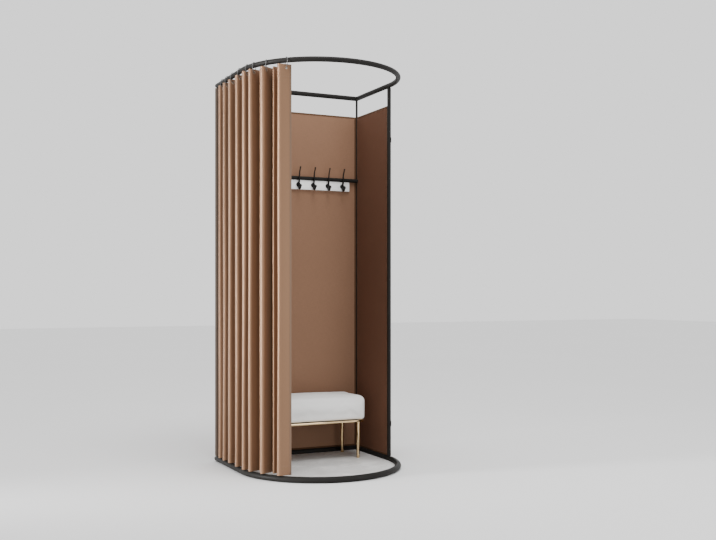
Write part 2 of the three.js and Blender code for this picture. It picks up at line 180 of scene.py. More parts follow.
class Paint:
    """A material made of nodes around one Principled shader."""

    def __init__(self, name, **constants):
        self.material = bpy.data.materials.new(name)
        self.material.use_nodes = True
        self.tree = self.material.node_tree
        self.shader = self.tree.nodes["Principled BSDF"]
        self.feed(self.shader, {key.replace("_", " "): value for key, value in constants.items()})

    def feed(self, node, values):
        for key, value in values.items():
            if isinstance(value, Shade):
                self.tree.links.new(value.socket, node.inputs[key])
            elif isinstance(value, tuple) and len(value) == 3 and node.inputs[key].type == "RGBA":
                node.inputs[key].default_value = (*value, 1)
            else:
                node.inputs[key].default_value = value

    def node(self, kind, values, output=0, **settings):
        node = self.tree.nodes.new("ShaderNode" + kind)
        for name, value in settings.items():
            setattr(node, name, value)
        self.feed(node, values)
        return Shade(self, node.outputs[output])

    def maths(self, operation, *values):
        return self.node("Math", dict(enumerate(values)), operation=operation)

    def place(self):
        return self.node("TexCoord", {}, "Object")

    def cloth_place(self):
        return self.node("UVMap", {}, uv_map="cloth")

    def noise(self, vector, scale, detail=3.0, roughness=0.5):
        values = {"Vector": vector, "Scale": scale, "Detail": detail, "Roughness": roughness}
        return self.node("TexNoise", values, noise_dimensions="3D")

    def spread(self, value, low, high, start=0.3, end=0.7):
        """Maps a value's middle range onto low to high."""
        values = {"Value": value, "From Min": start, "From Max": end, "To Min": low, "To Max": high}
        return self.node("MapRange", values)

    def blend(self, factor, first, second):
        return self.node("Mix", {0: factor, 6: first, 7: second}, 2, data_type="RGBA")

    def stretch(self, vector, x, y, z):
        return self.node("Mapping", {"Vector": vector, "Scale": (x, y, z)})

    def wave(self, place, axis, pitch):
        """A smooth 0 to 1 wave along one axis, once every pitch."""
        split = self.node("SeparateXYZ", {"Vector": place}, axis)
        return self.maths("SINE", split * (2 * math.pi / pitch)) * 0.5 + 0.5

    def finish(self, height=None, depth=0.0, **links):
        if height is not None:
            values = {"Height": height, "Distance": depth, "Strength": 1.0}
            links["Normal"] = self.node("Bump", values)
        self.feed(self.shader, {key.replace("_", " "): value for key, value in links.items()})
        return self.material


def satin_paint(name, colour, roughness, speckle=0.06, gloss=0.3):
    """Powder coat: a fine orange peel, with the gloss a little uneven."""
    paint = Paint(name, Specular_IOR_Level=gloss)
    place = paint.place()
    peel = paint.noise(place, 700, 2)
    cloudy = paint.noise(place, 9, 4)
    lighter = tuple(part * 1.4 + 0.002 for part in colour)
    return paint.finish(
        height=peel, depth=0.03 * MM,
        Base_Color=paint.blend(paint.spread(cloudy, 0, 0.5), colour, lighter),
        Roughness=paint.spread(cloudy, roughness - speckle, roughness + speckle),
    )


def polished_metal(name, colour, roughness):
    """Metal with faint streaks in its gloss."""
    paint = Paint(name, Metallic=1.0)
    streaks = paint.noise(paint.stretch(paint.place(), 90, 90, 90), 1, 4, 0.6)
    duller = tuple(part * 0.8 for part in colour)
    return paint.finish(
        height=streaks, depth=0.01 * MM,
        Base_Color=paint.blend(paint.spread(streaks, 0, 1), duller, colour),
        Roughness=paint.spread(streaks, roughness * 0.7, roughness * 1.4),
    )


def woven(paint, place, across, along, pitch):
    """The height of a plain weave: two crossed sets of threads that pass over and under."""
    warp = paint.wave(place, across, pitch)
    weft = paint.wave(place, along, pitch)
    return warp * weft + (1 - warp) * (1 - weft)


def curtain_cloth(name, dark, light, shaded):
    """A close satin-faced weave with slubs along the height, on the cloth's own map."""
    paint = Paint(name, Specular_IOR_Level=0.85, Specular_Tint=(1.0, 0.62, 0.4))
    place = paint.cloth_place()
    weave = woven(paint, place, "X", "Y", 1.1 * MM)
    slub = paint.noise(paint.stretch(place, 1400, 60, 1), 1, 3, 0.6)
    cloudy = paint.noise(paint.stretch(place, 7, 2.2, 1), 1, 3)
    tone = paint.blend(paint.spread(slub, 0, 1), dark, light)
    warm = paint.blend(paint.spread(cloudy, 0, 0.5), tone, shaded)
    return paint.finish(
        height=weave + slub * 1.5, depth=0.1 * MM,
        Base_Color=warm,
        Roughness=paint.spread(slub, 0.34, 0.42),
    )


def panel_cloth(name, light, dark, pitch=1.6 * MM):
    """A canvas stretched over a board, woven across and up."""
    paint = Paint(name, Specular_IOR_Level=0.08)
    place = paint.place()
    x, y, z = (paint.node("SeparateXYZ", {"Vector": place}, axis) for axis in "XYZ")
    face = paint.node("CombineXYZ", {"X": x + y, "Y": z, "Z": 0.0})
    weave = woven(paint, face, "X", "Y", pitch)
    threads = paint.noise(paint.stretch(face, 900, 40, 1), 1, 3, 0.6)
    cross_threads = paint.noise(paint.stretch(face, 40, 900, 1), 1, 3, 0.6)
    cloudy = paint.noise(place, 3, 4)
    mixed = threads * 0.5 + cross_threads * 0.5
    tone = paint.blend(paint.spread(mixed, 0, 1, 0.4, 0.6), dark, light)
    shaded = tuple(0.5 * (a + b) * 0.92 for a, b in zip(light, dark))
    return paint.finish(
        height=weave + mixed * 2.0, depth=0.16 * MM,
        Base_Color=paint.blend(paint.spread(cloudy, 0, 0.6), tone, shaded),
        Roughness=paint.spread(mixed, 0.72, 0.9),
    )


def cushion_cloth():
    """A dense off-white upholstery weave with little loops."""
    paint = Paint("cushion_cloth", Sheen_Weight=0.25, Sheen_Roughness=0.5)
    place = paint.place()
    cells = {"Vector": place, "Scale": 620, "Smoothness": 0.6}
    loops = paint.node("TexVoronoi", cells, feature="SMOOTH_F1")
    fibres = paint.noise(place, 1500, 3, 0.7)
    cloudy = paint.noise(place, 12, 3)
    tone = paint.blend(paint.spread(fibres, 0, 1), (0.84, 0.835, 0.82), (0.9, 0.895, 0.885))
    return paint.finish(
        height=fibres * 0.6 - loops, depth=0.35 * MM,
        Base_Color=paint.blend(paint.spread(cloudy, 0, 0.35), tone, (0.84, 0.83, 0.805)),
        Roughness=paint.spread(fibres, 0.8, 0.95),
    )


def marble_board():
    """A matt light grey laminate with soft marble clouds and a few finer veins."""
    paint = Paint("marble_board", Specular_IOR_Level=0.4)
    place = paint.place()
    warp = paint.noise(place, 3.2, 5, 0.6)
    clouds = paint.noise(paint.stretch(place, 5.5, 7.5, 5.5), 1, 7, 0.62)
    ridge = 1 - paint.maths("ABSOLUTE", paint.spread(clouds - warp * 0.4, -1, 1, 0.22, 0.4))
    body = paint.blend(paint.spread(clouds, 0, 1), (0.6, 0.59, 0.575), (0.87, 0.86, 0.845))
    return paint.finish(
        height=paint.noise(place, 420, 2), depth=0.01 * MM,
        Base_Color=paint.blend((ridge ** 14) * 0.5, body, (0.45, 0.44, 0.43)),
        Roughness=paint.spread(clouds, 0.42, 0.56),
    )


def thread(name, colour):
    """Sewing thread, lighter where its twist stands up: painted highlight on the twist and painted shade in
    its grooves.
    """
    paint = Paint(name, Sheen_Weight=0.3)
    twist = paint.noise(paint.place(), 2500, 1)
    twist_shade = tuple(part * 0.6 for part in colour)
    return paint.finish(
        height=twist, depth=0.1 * MM,
        Base_Color=paint.blend(twist, twist_shade, colour),
        Roughness=0.7,
    )


def studio_floor():
    """A pale grey floor, a little cloudy."""
    paint = Paint("studio_floor", Specular_IOR_Level=0.2)
    cloudy = paint.noise(paint.place(), 0.6, 2)
    pale = paint.blend(cloudy, (0.84, 0.84, 0.84), (0.87, 0.87, 0.87))
    return paint.finish(Base_Color=pale, Roughness=0.85)


BLACK = satin_paint("satin_black", (0.014, 0.013, 0.012), 0.48, gloss=0.08)
HOOK_BLACK = satin_paint("gloss_black", (0.006, 0.0055, 0.005), 0.3, 0.04, gloss=0.2)
WHITE = satin_paint("board_white", (0.83, 0.83, 0.82), 0.4, 0.05)
SEAT_BLACK = satin_paint("seat_board_black", (0.015, 0.014, 0.013), 0.7)
CHROME = polished_metal("ring_chrome", (0.15, 0.15, 0.15), 0.55)
EYELET = polished_metal("eyelet_nickel", (0.36, 0.28, 0.22), 0.5)
ZINC = polished_metal("screw_zinc", (0.5, 0.5, 0.5), 0.3)
BRASS = polished_metal("leg_brass", (0.72, 0.53, 0.3), 0.1)
CURTAIN = curtain_cloth("curtain_cloth", (0.143, 0.081, 0.048), (0.182, 0.104, 0.062), (0.167, 0.09, 0.052))
# A dark canvas strip over the curtain's rear edge fold: painted shade where that fold faces away from the
# light
CURTAIN_EDGE_SHADE = panel_cloth("curtain_edge_painted_shade", (0.115, 0.087, 0.07), (0.088, 0.067, 0.054), 1.2 * MM)
# The curtain's cloth in a darker tone along its leading edge
DARKER_LEAD_EDGE = curtain_cloth("curtain_darker_lead_edge", (0.1, 0.068, 0.05), (0.13, 0.088, 0.066), (0.11, 0.076, 0.056))
# Both walls are one canvas: the rear copy is lifted, painted light against the shade inside the cabin, and
# the side copy is darkened, painted shade
REAR_CANVAS_PAINTED_LIGHT = panel_cloth("rear_canvas_painted_light", (0.277, 0.155, 0.097), (0.229, 0.129, 0.08))
SIDE_CANVAS_PAINTED_SHADE = panel_cloth("side_canvas_painted_shade", (0.17, 0.082, 0.051), (0.136, 0.065, 0.04))
BINDING = panel_cloth("panel_binding", (0.12, 0.06, 0.032), (0.09, 0.044, 0.022), 1.0 * MM)
CUSHION = cushion_cloth()
MARBLE = marble_board()
BROWN_THREAD = thread("brown_thread", (0.30, 0.19, 0.12))


# Pieces and shapes
def finish_piece(bm, name, materials, body="frame", nodes=(), smooth_angle=35):
    """Turns a shape into a piece that rides on a body and stands for its nodes."""
    mesh = mesh_of(bm, name)
    piece = added(name, mesh)
    for material in materials if isinstance(materials, list) else [materials]:
        mesh.materials.append(material)
    mesh.shade_smooth()
    mesh.set_sharp_from_angle(angle=math.radians(smooth_angle))
    if body:
        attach(piece, body)
    if nodes:
        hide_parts(*nodes)
    return piece


def finish_black(bm, name, node):
    """A black painted piece of the frame."""
    return finish_piece(bm, name, BLACK, nodes=[node])


def verts_in(geometry):
    return [part for part in geometry if isinstance(part, bmesh.types.BMVert)]


def edges_in(geometry):
    return [part for part in geometry if isinstance(part, bmesh.types.BMEdge)]


def facing(point, direction):
    """A place at a point with its upright axis along a direction."""
    return Matrix.Translation(point) @ Vector(direction).to_track_quat("Z", "Y").to_matrix().to_4x4()


def soften(bm, width, segments=2, angle=50, edges=None):
    """Rounds the given edges of a shape, or else all its sharp ones."""
    if edges is None:
        sharp = math.radians(angle)
        edges = [edge for edge in bm.edges if edge.is_manifold and edge.calc_face_angle(0) > sharp]
    bmesh.ops.bevel(
        bm, geom=edges, offset=width, segments=segments, profile=0.5, affect="EDGES", material=-1
    )


def join_and_face_out(bm):
    """Joins points that coincide and turns every face outward."""
    bmesh.ops.remove_doubles(bm, verts=bm.verts[:], dist=1e-6)
    bmesh.ops.recalc_face_normals(bm, faces=bm.faces[:])


def bar(start, end, radius):
    """A closed round bar from start to end."""
    start, end = Vector(start), Vector(end)
    along = end - start
    bm = bmesh.new()
    bmesh.ops.create_cone(
        bm, cap_ends=True, segments=TUBE_SIDES, radius1=radius, radius2=radius, depth=along.length,
        matrix=facing((start + end) / 2, along),
    )
    return bm


def block(low, high):
    """A box between two corners."""
    low, high = Vector(low), Vector(high)
    place = Matrix.Translation((low + high) / 2) @ Matrix.Diagonal((*(high - low), 1))
    bm = bmesh.new()
    bmesh.ops.create_cube(bm, size=1, matrix=place)
    return bm


def slice_off(bm, point, normal):
    """Cuts a shape at a plane, drops what is beyond it and closes the cut."""
    geometry = bm.verts[:] + bm.edges[:] + bm.faces[:]
    cut = bmesh.ops.bisect_plane(bm, geom=geometry, plane_co=point, plane_no=normal, clear_outer=True)
    bmesh.ops.holes_fill(bm, edges=edges_in(cut["geom_cut"]), sides=0)


def spin_round(bm, centre, axis, steps):
    """Spins a line all the way round an axis."""
    bmesh.ops.spin(
        bm, geom=bm.verts[:] + bm.edges[:], cent=centre, axis=axis, angle=2 * math.pi, steps=steps,
        use_merge=True, use_duplicate=False,
    )
    join_and_face_out(bm)


def turned(bm, profile, steps, place):
    """Spins a profile of (radius, height) points in millimetres and adds it to a shape in its place."""
    spun = bmesh.new()
    verts = [spun.verts.new((radius * MM, 0, height * MM)) for radius, height in profile]
    for pair in zip(verts, verts[1:]):
        spun.edges.new(pair)
    spin_round(spun, (0, 0, 0), UP, steps)
    bmesh.ops.transform(spun, matrix=place, verts=spun.verts[:])
    pour(spun, bm)


# The plan of the rail: a run along it from the rear left corner and a distance outside it
def plan_point(run, outside, height=0.0):
    half = BOW_RADIUS + outside
    if run < SIDE_LENGTH:
        return Vector((BOW_CENTRE.x - half, BOW_CENTRE.y + SIDE_LENGTH - run, height))
    turn = (run - SIDE_LENGTH) / BOW_RADIUS
    return Vector((BOW_CENTRE.x - half * math.cos(turn), BOW_CENTRE.y - half * math.sin(turn), height))


def run_at(point):
    offset = BOW_CENTRE - point
    if offset.y < 0:
        return SIDE_LENGTH + offset.y
    return SIDE_LENGTH + BOW_RADIUS * math.atan2(offset.y, offset.x)


def outward_at(run):
    turn = max(0, run - SIDE_LENGTH) / BOW_RADIUS
    return Vector((-math.cos(turn), -math.sin(turn), 0))


# Frame: two hoops and three posts
TUBE_END_ROUND = 0.4 * MM


def build_hoop(prefix):
    radius = size_of(f"{prefix}_tube_rear").z / 2
    height = middle_of(f"{prefix}_tube_rear").z
    back = SEAT_GAP / math.sqrt(2)
    corners = [Vector((post.x, post.y, height)) for post in (POST_LEFT, POST_RIGHT)]

    reach = Vector((2 * radius, 0, 0))
    bm = bar(corners[0] - reach, corners[1] + reach, radius)
    for corner, side in zip(corners, (-1, 1)):
        slice_off(bm, corner - Vector((side * back, 0, 0)), (side, -1, 0))
    soften(bm, TUBE_END_ROUND)
    finish_black(bm, f"{prefix}_rear", f"{prefix}_tube_rear")

    for corner, side, word in zip(corners, (-1, 1), ("left", "right")):
        front = Vector((corner.x, BOW_CENTRE.y + SEAT_GAP / 2, height))
        bm = bar(front, corner + Vector((0, 2 * radius, 0)), radius)
        slice_off(bm, corner - Vector((0, back, 0)), (-side, 1, 0))
        soften(bm, TUBE_END_ROUND)
        finish_black(bm, f"{prefix}_side_{word}", f"{prefix}_tube_{word}")

    gap_turn = SEAT_GAP / 2 / BOW_RADIUS
    for word, start in (("left", 0), ("right", math.pi / 2)):
        bm = bmesh.new()
        turn = start + gap_turn
        side = Vector((-math.cos(turn), -math.sin(turn), 0))
        ahead = Vector((math.sin(turn), -math.cos(turn), 0))
        centre = BOW_CENTRE + UP * height
        place = facing(centre + side * BOW_RADIUS, ahead)
        bmesh.ops.create_circle(bm, segments=TUBE_SIDES, radius=radius, matrix=place)
        bmesh.ops.spin(
            bm, geom=bm.verts[:] + bm.edges[:], cent=centre, axis=UP,
            angle=math.pi / 2 - 2 * gap_turn, steps=RAIL_STEPS, use_duplicate=False,
        )
        bmesh.ops.holes_fill(bm, edges=bm.edges[:], sides=0)
        bmesh.ops.recalc_face_normals(bm, faces=bm.faces[:])
        soften(bm, TUBE_END_ROUND)
        finish_black(bm, f"{prefix}_bow_{word}", f"{prefix}_arc_{word}")

    for word in ("left", "front", "right"):
        node = frame["nodes"][f"{prefix}_joiner_{word}"]
        node.data.materials.clear()
        node.data.materials.append(ZINC)


def build_posts():
    for node in ("post_rear_left", "post_rear_right", "post_front_right"):
        low, high, middle = box_of(node)
        bm = bar((middle.x, middle.y, low.z), (middle.x, middle.y, high.z), (high.x - low.x) / 2)
        soften(bm, TUBE_END_ROUND)
        finish_black(bm, node.replace("post", "upright"), node)


# Stitches: short rounded threads laid end to end on a surface, each with its spacing and width
PANEL_STITCH = (6.5 * MM, 0.9 * MM)
HEM_STITCH = (7 * MM, 0.8 * MM)


def stitch_row(bm, start, end, normal, spacing, width, material):
    count = max(1, round((end - start).length / spacing))
    step = (end - start) / count
    turn = Matrix((step.normalized(), step.normalized().cross(normal), normal)).transposed()
    size = Matrix.Diagonal((step.length * 0.4, width / 2, width * 0.45, 1))
    for i in range(count):
        place = Matrix.Translation(start + step * (i + 0.5)) @ turn.to_4x4() @ size
        made = bmesh.ops.create_icosphere(bm, subdivisions=1, radius=1, matrix=place)["verts"]
        for face in {face for vert in made for face in vert.link_faces}:
            face.material_index = material


# Panels: a canvas-covered board in a bound edge, stitched inside the binding
BINDING_WIDTH = 12 * MM
BINDING_PROUD = 0.7 * MM
BINDING_ROUND = 1.1 * MM
STITCH_INSET = 9.8 * MM
STITCH_LIFT = 0.05 * MM
# Rounding the edges moves the centre of a canvas face less than this
NEAR_CENTRE = 50 * MM


def build_panel(node, name, canvas, across, normal):
    """across runs along the panel, normal through it."""
    low, high, middle = box_of(node)
    bm = block(low, high)
    faces = [face for face in bm.faces if abs(face.normal.dot(normal)) > 0.9]
    for face in faces:
        bmesh.ops.inset_region(bm, faces=[face], thickness=BINDING_WIDTH, depth=0)
        bmesh.ops.inset_region(bm, faces=[face], thickness=BINDING_PROUD, depth=-BINDING_PROUD)
    centres = [face.calc_center_median().copy() for face in faces]
    soften(bm, BINDING_ROUND, 3, 60)
    for face in bm.faces:
        board = any((face.calc_center_median() - centre).length < NEAR_CENTRE for centre in centres)
        face.material_index = 0 if board else 1
    half = (high - low) / 2
    run = half.dot(across) - STITCH_INSET
    rise = half.z - STITCH_INSET
    for side in (-1, 1):
        out = normal * side * (half.dot(normal) + STITCH_LIFT)
        corners = [
            middle + across * (x * run) + UP * (z * rise) + out
            for x, z in ((-1, -1), (1, -1), (1, 1), (-1, 1))
        ]
        for start, end in zip(corners, corners[1:] + corners[:1]):
            stitch_row(bm, start, end, normal * side, *PANEL_STITCH, 2)
    finish_piece(bm, name, [canvas, BINDING, BROWN_THREAD], nodes=[node])


# Panel clips: a bent steel strap round the outside of a post, screwed to the panel's edge
CLIP_STEEL = 1.5 * MM
CLIP_TAB = 22 * MM
CLIP_LEAD = 3 * MM
CLIP_BEND_STEPS = 28
CLIP_SCREW_SHARE = 0.58
SCREW_PROFILE = (
    (0, 0.9), (1.344, 0.9), (1.68, 1.9), (2.94, 1.7), (3.948, 1.0), (4.2, 0.25), (4.2, 0), (0, 0),
)


def build_clip(node, post, hand, turn_degrees, at_corner):
    """Local x runs along the panel and local y is its outer side, mirrored by hand."""
    low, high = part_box(node)
    radius = size_of(post).x / 2
    band = clear_of_post(post) + CLIP_STEEL / 2
    face = size_of("panel_rear").y / 2 + SEAT_GAP + CLIP_STEEL / 2
    start = math.asin(face / band)
    bend = band * math.cos(start)
    tab_end = radius + CLIP_TAB
    bm = bmesh.new()
    bottom = bm.verts.new((tab_end, face, 0))
    top = bm.verts.new((tab_end, face, high.z - low.z))
    edge = bm.edges.new((bottom, top))

    def draw_to(edge, x, y):
        made = bmesh.ops.extrude_edge_only(bm, edges=[edge])["geom"]
        verts = verts_in(made)
        for vert in verts:
            vert.co.x, vert.co.y = x, y
        return next(part for part in edges_in(made) if set(part.verts) == set(verts))

    edge = draw_to(edge, bend + CLIP_LEAD, face)
    edge = draw_to(edge, bend, face)
    end = 1.5 * math.pi - start if at_corner else math.pi
    spun = bmesh.ops.spin(
        bm, geom=[edge, *edge.verts], cent=(0, 0, 0), axis=UP, angle=end - start,
        steps=CLIP_BEND_STEPS, use_duplicate=False,
    )
    if at_corner:
        edge = draw_to(edges_in(spun["geom_last"])[0], -face, -bend - CLIP_LEAD)
        draw_to(edge, -face, -tab_end)
    bmesh.ops.scale(bm, vec=(1, hand, 1), verts=bm.verts[:])
    bmesh.ops.recalc_face_normals(bm, faces=bm.faces[:])
    centre = middle_of(post)
    turn = Matrix.Rotation(math.radians(turn_degrees), 4, "Z")
    place = Matrix.Translation((centre.x, centre.y, low.z)) @ turn
    bmesh.ops.transform(bm, matrix=place, verts=bm.verts[:])
    strap = finish_black(bm, node.replace("panel_clip", "strap"), node)
    solid = strap.modifiers.new("steel", "SOLIDIFY")
    solid.thickness = CLIP_STEEL
    solid.offset = 0
    rounded = strap.modifiers.new("edges", "BEVEL")
    rounded.width = 0.35 * MM
    rounded.segments = 2
    rounded.limit_method = "ANGLE"

    bm = bmesh.new()
    surface = face + CLIP_STEEL / 2
    along = radius + CLIP_TAB * CLIP_SCREW_SHARE
    tabs = [((along, surface * hand), (0, hand))]
    if at_corner:
        tabs.append(((-surface, -along), (-1, 0)))
    middle = (high.z - low.z) / 2
    for (x, y), (out_x, out_y) in tabs:
        direction = place.to_3x3() @ Vector((out_x, out_y, 0))
        turned(bm, SCREW_PROFILE, 24, facing(place @ Vector((x, y, middle)), direction))
    finish_piece(bm, node.replace("panel_clip", "strap_screw"), ZINC)


def build_clips():
    for level in ("low", "high"):
        build_clip(f"panel_clip_left_{level}", "post_rear_left", 1, 0, False)
        build_clip(f"panel_clip_corner_{level}", "post_rear_right", 1, -90, True)
        build_clip(f"panel_clip_front_{level}", "post_front_right", -1, 90, False)


# Floor board: a D-shaped plate
def build_floor_board():
    low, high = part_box("floor_board")
    half = (high.x - low.x) / 2
    bm = bmesh.new()
    start = bm.verts.new((BOW_CENTRE.x + half, BOW_CENTRE.y, 0))
    spun = bmesh.ops.spin(
        bm, geom=[start], cent=BOW_CENTRE, axis=UP, angle=-math.pi, steps=2 * RAIL_STEPS,
        use_duplicate=False,
    )
    last = verts_in(spun["geom_last"])[0]
    rear_left = bm.verts.new((low.x, high.y, 0))
    rear_right = bm.verts.new((high.x, high.y, 0))
    for pair in ((last, rear_left), (rear_left, rear_right), (rear_right, start)):
        bm.edges.new(pair)
    face = bmesh.ops.contextual_create(bm, geom=bm.edges[:])["faces"][0]
    raised = bmesh.ops.extrude_face_region(bm, geom=[face], use_keep_orig=True)["geom"]
    bmesh.ops.translate(bm, vec=(0, 0, high.z), verts=verts_in(raised))
    bmesh.ops.recalc_face_normals(bm, faces=bm.faces[:])
    soften(bm, BOARD_ROUND)
    finish_piece(bm, "floor_plate", MARBLE, nodes=["floor_board"])


# Hook rail: a coped bar, a white board under it and double hooks
BOARD_CORNER = 2 * MM
ROSE_PROFILE = (
    (0, 5.2), (3, 5.1), (6.5, 4.6), (9.5, 3.3), (11.2, 2.2), (12.4, 2.0), (13, 1.3), (13, 0), (0, 0),
)
HOOK_REACH = 32 * MM
UPPER_ARM_SHARES = ((0.15, 0), (0.32, 0.1), (0.44, 0.22), (0.47, 0.4), (0.6, 0.7), (1, 1))
LOWER_ARM_SHARES = ((0.17, -0.05), (0.27, -0.7), (0.55, -1), (0.85, -0.85), (1, -0.36))
# Each arm: its points as shares of (reach, height), its height, its radii at the root and the tip, its ball
HOOK_ARMS = (
    (UPPER_ARM_SHARES, 92 * MM, 5.6 * MM, 3.0 * MM, 4.4 * MM),
    (LOWER_ARM_SHARES, 23 * MM, 6.0 * MM, 5.4 * MM, 8.2 * MM),
)


def build_bar():
    low, high, middle = box_of("hook_bar")
    radius = (high.z - low.z) / 2
    clear = clear_of_post("post_rear_left")
    bm = bar((low.x, middle.y, middle.z), (high.x, middle.y, middle.z), radius)
    soften(bm, 0.3 * MM, 1)
    for vert in bm.verts:
        behind = vert.co.y - POST_LEFT.y
        if abs(behind) < clear:
            reach = BOW_RADIUS - math.sqrt(clear**2 - behind**2)
            offset = vert.co.x - BOW_CENTRE.x
            vert.co.x = BOW_CENTRE.x + math.copysign(min(abs(offset), reach), offset)
    finish_black(bm, "cross_bar", "hook_bar")


def build_hook_board():
    bm = block(*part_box("hook_board"))
    through = [edge for edge in bm.edges if abs((edge.verts[0].co - edge.verts[1].co).y) > 5 * MM]
    soften(bm, BOARD_CORNER, 4, edges=through)
    soften(bm, BOARD_ROUND, 3)
    finish_piece(bm, "board", WHITE, nodes=["hook_board"])


def sweep(points, radii):
    """A closed round rod along a smooth curve through points."""
    curve = bpy.data.curves.new("rod", "CURVE")
    curve.dimensions = "3D"
    curve.bevel_depth = 1
    curve.bevel_resolution = 4
    curve.use_fill_caps = True
    curve.resolution_u = 10
    spline = curve.splines.new("BEZIER")
    spline.bezier_points.add(len(points) - 1)
    for knot, point, radius in zip(spline.bezier_points, points, radii):
        knot.co = point
        knot.radius = radius
        knot.handle_left_type = knot.handle_right_type = "AUTO"
    holder = added("rod", curve)
    rod = worked_out(holder)
    bpy.data.objects.remove(holder)
    bpy.data.curves.remove(curve)
    join_and_face_out(rod)
    return rod


def build_hook(node, name):
    _, high, middle = box_of(node)
    origin = Vector((middle.x, high.y, middle_of("hook_board").z))
    bm = bmesh.new()
    turned(bm, ROSE_PROFILE, TUBE_SIDES, facing(origin, (0, -1, 0)))
    for shares, height, root, tip, ball in HOOK_ARMS:
        points = [origin + Vector((0, -out * HOOK_REACH, up * height)) for out, up in shares]
        last = len(points) - 1
        pour(sweep(points, [root + (tip - root) * i / last for i in range(len(points))]), bm)
        bmesh.ops.create_uvsphere(
            bm, u_segments=24, v_segments=16, radius=ball, matrix=Matrix.Translation(points[-1])
        )
    finish_piece(bm, name, HOOK_BLACK, nodes=[node], smooth_angle=50)


# Bench: mitred brass frame, black seat board, turned legs and a padded top
HALF_MITRE_GAP = 0.05 * MM


def build_bench_frame():
    low, high, middle = box_of("bench_frame")
    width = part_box("bench_board")[0].x - low.x - SEAT_GAP
    bm = bmesh.new()
    corners = ((low.x, low.y), (high.x, low.y), (high.x, high.y), (low.x, high.y))
    sides = (
        ((low.x, low.y), (high.x, low.y + width)),
        ((low.x, high.y - width), (high.x, high.y)),
        ((low.x, low.y), (low.x + width, high.y)),
        ((high.x - width, low.y), (high.x, high.y)),
    )
    for (x0, y0), (x1, y1) in sides:
        rail = block((x0, y0, low.z), (x1, y1, high.z))
        lengthwise = x1 - x0 > y1 - y0
        for x, y in corners:
            away = y - (y0 + y1) / 2 if lengthwise else x - (x0 + x1) / 2
            if abs(away) < width:
                normal = Vector((math.copysign(1, x - middle.x), -math.copysign(1, y - middle.y), 0))
                if not lengthwise:
                    normal.negate()
                slice_off(rail, Vector((x, y, 0)) - normal.normalized() * HALF_MITRE_GAP, normal)
        soften(rail, 0.6 * MM)
        pour(rail, bm)
    finish_piece(bm, "seat_frame", BRASS, nodes=["bench_frame"])


def build_seat_board():
    bm = block(*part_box("bench_board"))
    soften(bm, BOARD_ROUND)
    finish_piece(bm, "seat_board", SEAT_BLACK, nodes=["bench_board"])


def build_leg(node, name):
    low, high, middle = box_of(node)
    height = (high.z - low.z) / MM
    collar = (high.x - low.x) / 2 / MM
    profile = [
        (0, 0), (7.6, 0), (8.3, 0.7), (8.5, 3), (8.6, 9), (8.0, 9.6), (8.0, 10.8), (8.6, 11.4),
        (9.6, height * 0.5), (10.7, height - 9.6), (10.0, height - 9.0), (10.0, height - 7.8),
        (10.9, height - 7.2), (11.0, height - 6.2), (collar - 0.6, height - 6), (collar, height - 5.4),
        (collar, height - 0.6), (collar - 0.6, height), (0, height),
    ]
    bm = bmesh.new()
    turned(bm, profile, TUBE_SIDES, Matrix.Translation((middle.x, middle.y, low.z)))
    finish_piece(bm, name, BRASS, nodes=[node], smooth_angle=40)


CUSHION_TOP_ROUND = 20 * MM
CUSHION_FOOT_ROUND = 9 * MM
CUSHION_CORNER_ROUND = 13 * MM
CUSHION_CROWN = 12 * MM
CUSHION_CELLS = (48, 24, 14)
CUSHION_SHRINK = 4 * MM
CUSHION_DRAW_IN = 3 * MM
CUSHION_FOOT_GAP = 0.2 * MM
PAD_VOXEL = 6 * MM
PAD_PRESSURE = 4
PAD_SWELL = 5 * MM
PAD_FRAMES = 20
SEAM_INSET = 11 * MM
SEAM_SINK = 1.2 * MM
TOP_SEAM_WIDTH = 2.6 * MM
CORNER_SEAM_WIDTH = 2.2 * MM
CORNER_SEAM_REACH = 20 * MM
# A point beyond this share of the half size is on a side
SIDE_SHARE = 0.86


def within(value, limit):
    return max(-limit, min(value, limit))


def cushion_block(half, height):
    """A block with rounded corners and edges and a crowned top, drawn in between its corners."""
    bm = bmesh.new()
    bmesh.ops.create_cube(bm, size=2)
    for axis, cells in enumerate(CUSHION_CELLS):
        along = [edge for edge in bm.edges if abs(edge.verts[0].co[axis] - edge.verts[1].co[axis]) > 1.9]
        bmesh.ops.subdivide_edges(bm, edges=along, cuts=cells - 1, use_grid_fill=True)
    sizes = (half.x, half.y, height / 2)
    for vert in bm.verts:
        x, y, z = (math.sin(math.pi / 2 * part) * size for part, size in zip(vert.co, sizes))
        inside = min(half.x - abs(x), half.y - abs(y))
        from_cap = height / 2 - abs(z)
        core = Vector([within(part, size - CUSHION_CORNER_ROUND) for part, size in zip((x, y), sizes)])
        offset = Vector((x, y)) - core
        if offset.length > 0:
            offset *= max(abs(part) for part in offset) / offset.length
        x, y = core + offset
        edge_round = CUSHION_TOP_ROUND if z > 0 else CUSHION_FOOT_ROUND
        if inside < edge_round and from_cap < edge_round:
            turn = math.pi / 4 * (1 + (inside - from_cap) / edge_round)
            inset = edge_round * (1 - math.cos(turn))
            x *= (half.x - inset) / (half.x - inside)
            y *= (half.y - inset) / (half.y - inside)
            z = math.copysign(height / 2 - edge_round * (1 - math.sin(turn)), z)
        open_x, open_y = 1 - (x / half.x) ** 2, 1 - (y / half.y) ** 2
        z += CUSHION_CROWN * open_x * open_y * (z / height + 0.5)
        x *= 1 - CUSHION_DRAW_IN / half.x * open_y
        y *= 1 - CUSHION_DRAW_IN / half.y * open_x
        vert.co = (x, y, z)
    bmesh.ops.recalc_face_normals(bm, faces=bm.faces[:])
    return bm


def smoothed(bm, times):
    for _ in range(times):
        bmesh.ops.smooth_vert(
            bm, verts=bm.verts[:], factor=0.5, use_axis_x=True, use_axis_y=True, use_axis_z=True
        )


